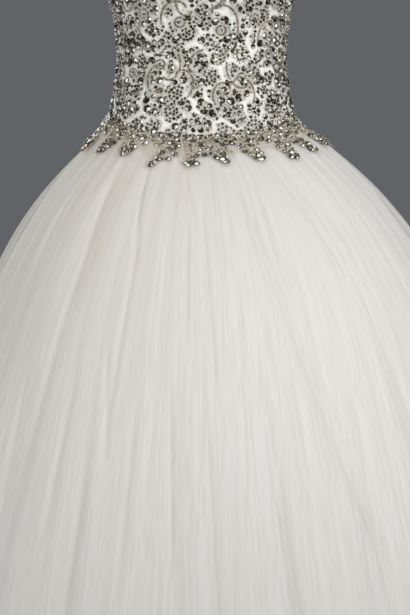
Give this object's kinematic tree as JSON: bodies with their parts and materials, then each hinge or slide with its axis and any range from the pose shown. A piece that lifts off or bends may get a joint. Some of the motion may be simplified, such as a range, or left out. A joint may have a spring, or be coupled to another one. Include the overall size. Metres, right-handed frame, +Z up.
{
  "type": "wedding dress",
  "caption": "Strapless ball-gown wedding dress: beaded bodice, pendant hip applique, full gathered tulle skirt over an underskirt, and a centre-back zip with a hinged pull.",
  "frame": {"origin": "the centre of the wearer's waist, where the waist of the bodice is held", "axes": "+Z up along the wearer, -Y out of the front of the dress, +X to the wearer's left"},
  "size_m": [1.2171, 1.154, 1.3231],
  "materials": {
    "beaded_satin": "ivory satin ground covered in clear crystals, small stones and silver bead cord",
    "beaded_applique": "ivory net applique covered in crystals and silver bead cord",
    "ivory_tulle": "soft matt layered tulle, the outermost layer sheer",
    "ivory_underskirt": "smooth ivory lining cloth with a slight sheen",
    "zip_tape": "woven ivory tape",
    "zip_metal": "bright nickel"
  },
  "bodies": {
    "dress": {"bodice_front": "beaded_satin", "bodice_side_front_left": "beaded_satin", "bodice_side_front_right": "beaded_satin", "bodice_side_back_left": "beaded_satin", "bodice_side_back_right": "beaded_satin", "bodice_back_left": "beaded_satin", "bodice_back_right": "beaded_satin", "applique_front": "beaded_applique", "applique_side_left": "beaded_applique", "applique_side_right": "beaded_applique", "applique_back_left": "beaded_applique", "applique_back_right": "beaded_applique", "skirt_front": "ivory_tulle", "skirt_front_left": "ivory_tulle", "skirt_front_right": "ivory_tulle", "skirt_side_left": "ivory_tulle", "skirt_side_right": "ivory_tulle", "skirt_back_left": "ivory_tulle", "skirt_back_right": "ivory_tulle", "underskirt_front": "ivory_underskirt", "underskirt_back_left": "ivory_underskirt", "underskirt_back_right": "ivory_underskirt", "zip_tape": "zip_tape", "zip_slider": "zip_metal"},
    "pull": {"zip_pull": "zip_metal"}
  },
  "joints": [
    {"name": "zip_pull_swing", "type": "hinge", "parent": "dress", "child": "pull", "pos_m": [0, 0.09637, 0.151], "axis": [1, 0, 0], "range_deg": [0, 150]}
  ]
}
